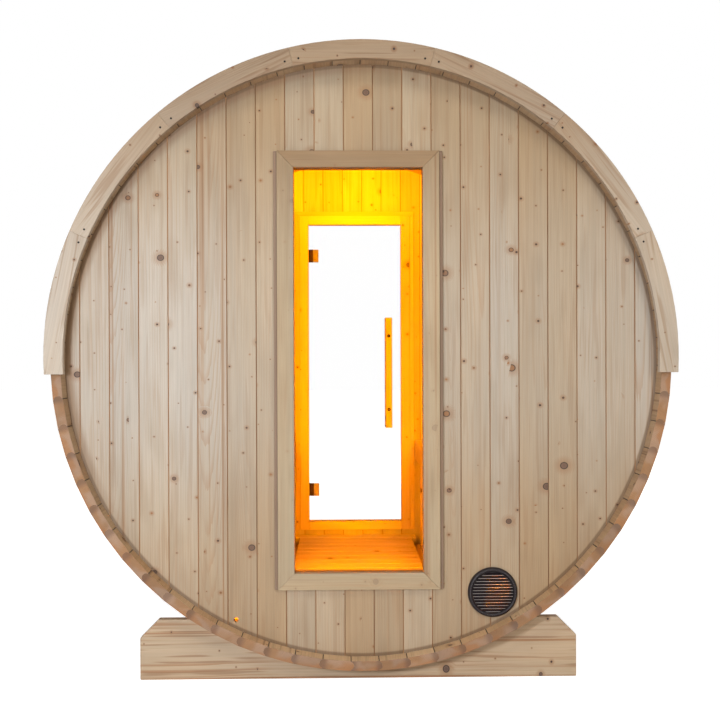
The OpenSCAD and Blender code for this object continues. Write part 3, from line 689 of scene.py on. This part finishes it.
def lay_grain(piece, layout, joints):
    """Gives each corner of a face its place in its board's own frame, across, through and along the grain,
    and three chance numbers of the board. Sawn ends take the second material, and joints the third."""
    mesh = piece.data
    part = parts_of(mesh)
    boxes = part_boxes(mesh, part)
    order = {number: rank for rank, number in enumerate(sorted(boxes, key=lambda n: tuple(boxes[n][0])))}
    grain = mesh.attributes.new("grain", "FLOAT_VECTOR", "CORNER").data
    board = mesh.attributes.new("board", "FLOAT_VECTOR", "CORNER").data
    for face in mesh.polygons:
        number = part[face.vertices[0]]
        key, origin, along, across = layout(piece.name, face.center, order[number], *boxes[number])
        chance = random.Random(key)
        lot = (chance.random(), chance.random(), chance.random())
        through = along.cross(across)
        if abs(face.normal.dot(along)) > FACING:
            face.material_index = 1
        if joints and joints(face):
            face.material_index = 2
        for corner in face.loop_indices:
            place = mesh.vertices[mesh.loops[corner].vertex_index].co - origin
            grain[corner].vector = (place.dot(across), place.dot(through), place.dot(along))
            board[corner].vector = lot


def dress(node, material, layout=by_longest_side, edge=0.002, ends=board_ends, joints=None,
          gap=joint_timber, body="house"):
    """Stands for a wooden node, with eased edges and its grain laid. Ends is the material of sawn ends, and
    gap is that of the faces for which joints is true."""
    piece = merged_copy(node, node + "_timber")
    if edge:
        ease(piece, edge)
    for finish in (material, ends, gap):
        piece.data.materials.append(finish)
    lay_grain(piece, layout, joints)
    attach(piece, body)
    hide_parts(node)


def paint(node, material):
    """Gives a node that keeps its own mesh a better finish."""
    for slot in NODES[node].material_slots:
        slot.material = material


def in_a_joint(face):
    """Whether a face is on the slope of a V joint between wall boards."""
    return abs(face.normal.x) > SLOPED and abs(face.normal.y) > SLOPED


def in_a_recess(face):
    """Whether a face is in a hole in which a bolt of the handles lies."""
    largest_area, around = 0.0004, 0.002
    middle_x, middle_z, half_apart, radius = handle_bolts()
    off = math.hypot(face.center.x - middle_x, abs(face.center.z - middle_z) - half_apart)
    return off < radius + around and face.area < largest_area


def between_staves(face):
    """Whether a face is on the eased edges along which one stave meets the next."""
    outwards, sideways = round_axis(face.center)
    lean, slant = abs(face.normal.dot(sideways)), abs(face.normal.dot(outwards))
    return SLOPED < lean < SQUARE and (abs(face.normal.y) > SLOPED or slant > SLOPED)


def vent():
    """Stands for the vent, with its louvres' outer edges in their own finish, a painted highlight."""
    piece = merged_copy("vent_grille", "vent_with_grey_edges")
    ease(piece, 0.0006, segments=1)
    for finish in (vent_black, louvre_highlight):
        piece.data.materials.append(finish)
    lowest, highest = Vector(low("vent_grille")), Vector(high("vent_grille"))
    centre = (lowest + highest) / 2
    opening_share, outermost = 0.79, 0.008
    opening = (highest.x - lowest.x) / 2 * opening_share
    for face in piece.data.polygons:
        off = math.hypot(face.center.x - centre.x, face.center.z - centre.z)
        if off < opening and face.normal.y < -FACING and face.center.y < lowest.y + outermost:
            face.material_index = 1
    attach(piece, "house")
    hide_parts("vent_grille")


# ------------------------------------------------------------------ the house

for side in ("bottom", "lower_left", "upper_left", "top", "upper_right", "lower_right"):
    dress(f"staves_{side}", stave_timber, by_stave, edge=0.0018, ends=stave_ends,
          joints=between_staves, gap=gap_timber)

for wall in ("front_wall_left", "front_wall_right", "front_wall_over_window", "front_wall_under_window",
             "rear_wall_left", "rear_wall_right", "rear_wall_over_door", "rear_wall_under_door"):
    dress(wall, wall_timber, by_wall_board, edge=0, joints=in_a_joint)

for trim in ("window_jambs", "window_beads", "window_casing", "door_casing"):
    dress(trim, trim_timber, edge=0.0008)
dress("window_side_battens", batten_timber)

for board in ("door_frame", "door_inner_strips", "floor_slats", "floor_bearers"):
    dress(board, cabin_timber)
for side in ("left", "right"):
    for part in ("seat", "apron", "frame"):
        dress(f"bench_{side}_{part}", cabin_timber)

for end in ("front", "rear"):
    dress(f"fascia_{end}", fascia_timber, by_arch_board, edge=0.001)
    dress(f"cradle_{end}", cradle_timber, edge=0.003)

for handle in ("door_handle_inner", "door_handle_outer"):
    # The holes round the handles' bolts take the near-black joint finish: a painted shade in the recesses.
    dress(handle, handle_timber, joints=in_a_recess, gap=gap_timber, body="door")

paint("window_glass", clear_glass)
paint("door_glass", clear_glass)
vent()
paint("door_hinge_bases", plain_steel)
paint("door_hinge_leaves", plate_steel)
paint("door_handle_bolts", bolt_heads)
paint("barrel_bands", plain_steel)
for part in ("roof_courses_left", "roof_courses_right", "roof_ridge_cap"):
    paint(part, roof_shingle)


# ------------------------------------------------------------------ screws

def screw(place, axis, head_r, finish):
    """A countersunk screw head with a socket, its face turned to axis."""
    sides, depth = 16, head_r * 0.5
    proud, socket_wall, socket_depth = depth * 0.15, head_r * 0.45, depth * 0.6
    bpy.ops.object.select_all(action="DESELECT")
    turn = axis.to_track_quat("Z", "Y").to_euler()
    bpy.ops.mesh.primitive_cylinder_add(vertices=sides, radius=head_r, depth=depth,
                                        location=place + axis * proud, rotation=turn)
    head = bpy.context.object
    bpy.ops.object.transform_apply(location=True, rotation=True, scale=True)
    bpy.ops.object.mode_set(mode="EDIT")
    bpy.ops.mesh.select_all(action="DESELECT")
    bpy.ops.object.mode_set(mode="OBJECT")
    for face in head.data.polygons:
        face.select = face.normal.dot(axis) > FACING
    bpy.ops.object.mode_set(mode="EDIT")
    bpy.ops.mesh.select_mode(type="FACE")
    bpy.ops.mesh.inset(thickness=socket_wall)
    bpy.ops.mesh.extrude_region_move(TRANSFORM_OT_translate={"value": -axis * socket_depth})
    bpy.ops.object.mode_set(mode="OBJECT")
    head.data.materials.append(finish)
    return head


def join(pieces, name, body):
    """Makes several small parts into one piece."""
    bpy.ops.object.select_all(action="DESELECT")
    for piece in pieces:
        piece.select_set(True)
    bpy.context.view_layer.objects.active = pieces[0]
    bpy.ops.object.join()
    piece = bpy.context.object
    piece.name = name
    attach(piece, body)


def fascia_screws():
    """A screw on each side of every joint of both fascias."""
    from_joint, from_edge, head_r = 0.025, 0.046, 0.0037
    radius = high("fascia_front")[0] - from_edge
    centre_z = AXIS_Z + FASCIA_LIFT
    heads = []
    for axis, face_y in ((-Y, low("fascia_front")[1]), (Y, high("fascia_rear")[1])):
        for joint in range(1, FASCIA_BOARDS):
            for side in (-1, 1):
                angle = (joint - FASCIA_BOARDS / 2) * FASCIA_STEP + side * from_joint / radius
                place = Vector((radius * math.sin(angle), face_y, centre_z + radius * math.cos(angle)))
                heads.append(screw(place, axis, head_r, screw_black))
    join(heads, "fascia_screws", "house")


def plate_screws(node, axis, spread, body):
    """Two screws, one over the other, on each plate of a node that faces axis."""
    head_r, level = 0.0045, 0.001
    plates = merged_copy(node, "plates")
    boxes = part_boxes(plates.data, parts_of(plates.data)).values()
    bpy.data.objects.remove(plates)
    faces = [centre + axis * size.y / 2 for centre, size in boxes]
    outermost = max(face.dot(axis) for face in faces)
    heads = [screw(face + Z * side * spread, axis, head_r, plain_steel)
             for face in faces if face.dot(axis) > outermost - level for side in (-1, 1)]
    join(heads, node + "_screws", body)


fascia_screws()
plate_screws("door_hinge_leaves", -Y, spread=0.018, body="door")
plate_screws("door_hinge_bases", Y, spread=0.018, body="house")


# ------------------------------------------------------------------ studio

def rays(s):
    """Of each ray: whether it shows the backdrop, from the camera, in a reflection or through glass, and
    whether it would bring the studio's light through the glass into the cabin."""
    names = ("Is Camera Ray", "Is Glossy Ray", "Is Transmission Ray", "Diffuse Depth", "Glossy Depth")
    camera, glossy, through, diffuse_depth, glossy_depth = (
        s.node("ShaderNodeLightPath", {}, {}, name) for name in names)
    enters = through * (diffuse_depth + glossy_depth).between(0.0, 1.0)
    shows = camera.most(glossy).most(through)
    return shows * (1.0 - diffuse_depth.between(0.0, 1.0)) * (1.0 - enters), enters


WHITE, DARK = (1.0, 1.0, 1.0), (0.0, 0.0, 0.0)
FILL_LIGHT = (0.235, 0.205, 0.175)
FLOOR_COLOUR, FLOOR_GLOW, FLOOR_SIZE = (0.8, 0.8, 0.8), (0.88, 0.88, 0.88), 60


class Backdrop(Shader):
    """The world, to which nodes are added as to a material."""

    def __init__(self, name):
        self.world = bpy.data.worlds.new(name)
        self.world.use_nodes = True
        self.tree = self.world.node_tree
        self.surface = self.tree.nodes["Background"]


def make_world():
    s = Backdrop("studio")
    shows, enters = rays(s)
    light = s.blend(enters, FILL_LIGHT, DARK)
    s.set("Color", s.blend(shows, light, WHITE))
    bpy.context.scene.world = s.world


def make_floor():
    bpy.ops.object.select_all(action="DESELECT")
    bpy.ops.mesh.primitive_plane_add(size=FLOOR_SIZE, location=(0, 0, CAD_BOX[0][2]))
    floor = bpy.context.object
    floor.name = "studio_floor"
    s = Shader("studio floor", Roughness=1.0, Specular_IOR_Level=0.0, Emission_Strength=1.0)
    shows, enters = rays(s)
    s.set("Base Color", s.blend(enters, FLOOR_COLOUR, DARK))
    s.set("Emission Color", s.blend(shows, DARK, FLOOR_GLOW))
    floor.data.materials.append(s.material)


def area_light(name, place, target, size, power, colour):
    """A rectangular lamp at a place, turned to a target, that the camera doesn't see."""
    data = bpy.data.lights.new(name, "AREA")
    data.shape = "RECTANGLE"
    data.size, data.size_y = size
    data.energy = power
    data.color = colour
    lamp = bpy.data.objects.new(name, data)
    bpy.context.collection.objects.link(lamp)
    lamp.location = place
    lamp.rotation_euler = (Vector(target) - Vector(place)).to_track_quat("-Z", "Y").to_euler()
    lamp.visible_camera = False
    lamp.visible_transmission = False
    return lamp


def make_studio_lights():
    cool, warm = (0.91, 0.965, 1.03), (1.0, 0.93, 0.81)
    area_light("key from the left", (-1.3, -4.3, 1.3), target=(-0.2, -1.0, 1.2),
               size=(0.3, 0.5), power=66, colour=cool)
    area_light("key from the right", (1.5, -4.3, 2.0), target=(0.4, -1.0, 1.1),
               size=(0.4, 0.6), power=25, colour=warm)
    area_light("overhead", (0, -3.8, 4.4), target=(0, -1.0, 1.0), size=(2.4, 1.4), power=55, colour=warm)
    area_light("back light", (1.0, 7.0, 4.5), target=(0, 1.0, 1.2), size=(4.0, 3.0), power=150, colour=warm)


def make_cabin_lights():
    """The amber light inside, which comes from strips and lamps out of sight."""
    amber = (1.0, 0.36, 0.0)
    ridge, over_door, door_head = AXIS_Z + 0.98, AXIS_Z + 0.95, AXIS_Z + 0.92
    waist, under_seat, near_floor, under_floor = AXIS_Z - 0.2, AXIS_Z - 0.75, AXIS_Z - 0.85, AXIS_Z - 1.01
    lamps = [area_light("strip under the ridge", (0, 0, ridge), target=(0, 0, 0),
                        size=(0.3, 1.4), power=9, colour=amber),
             area_light("strip over the door", (0, 0.60, over_door), target=(0, 0.95, door_head),
                        size=(0.6, 0.1), power=6.5, colour=amber)]
    for side in (-1, 1):
        beside = side * 0.46
        below = side * 0.118
        lamps.append(area_light("strip beside the window", (beside, -0.88, waist),
                                target=(beside * 0.5, 0.95, waist),
                                size=(0.08, 1.2), power=57, colour=amber))
        lamps.append(area_light("lamp under a bench", (beside, -0.5, under_seat),
                                target=(beside, -1.0, near_floor), size=(0.1, 0.1), power=12, colour=amber))
        lamps.append(area_light("lamp under the floor", (below, 0, under_floor),
                                target=(below, 0, 0), size=(0.12, 1.6), power=5, colour=amber))
    for lamp in lamps:
        lamp.visible_glossy = False


def make_camera():
    """Level with the barrel's middle, a little to the left of it, on the window end."""
    aside, away, above = -0.0796, 3.705, 0.021
    turn, level, roll = math.radians(-1.08), math.radians(90 - 0.28), math.radians(-0.20)
    data = bpy.data.cameras.new("camera")
    data.sensor_width = 36.0
    data.lens = 51.69
    camera = bpy.data.objects.new("camera", data)
    bpy.context.collection.objects.link(camera)
    camera.location = (aside, -BARREL_END - away, AXIS_Z + above)
    look = Matrix.Rotation(turn, 4, "Z") @ Matrix.Rotation(level, 4, "X") @ Matrix.Rotation(roll, 4, "Z")
    camera.rotation_euler = look.to_euler()
    bpy.context.scene.camera = camera


make_world()
make_floor()
make_studio_lights()
make_cabin_lights()
make_camera()
bpy.context.scene.view_settings.view_transform = "Standard"
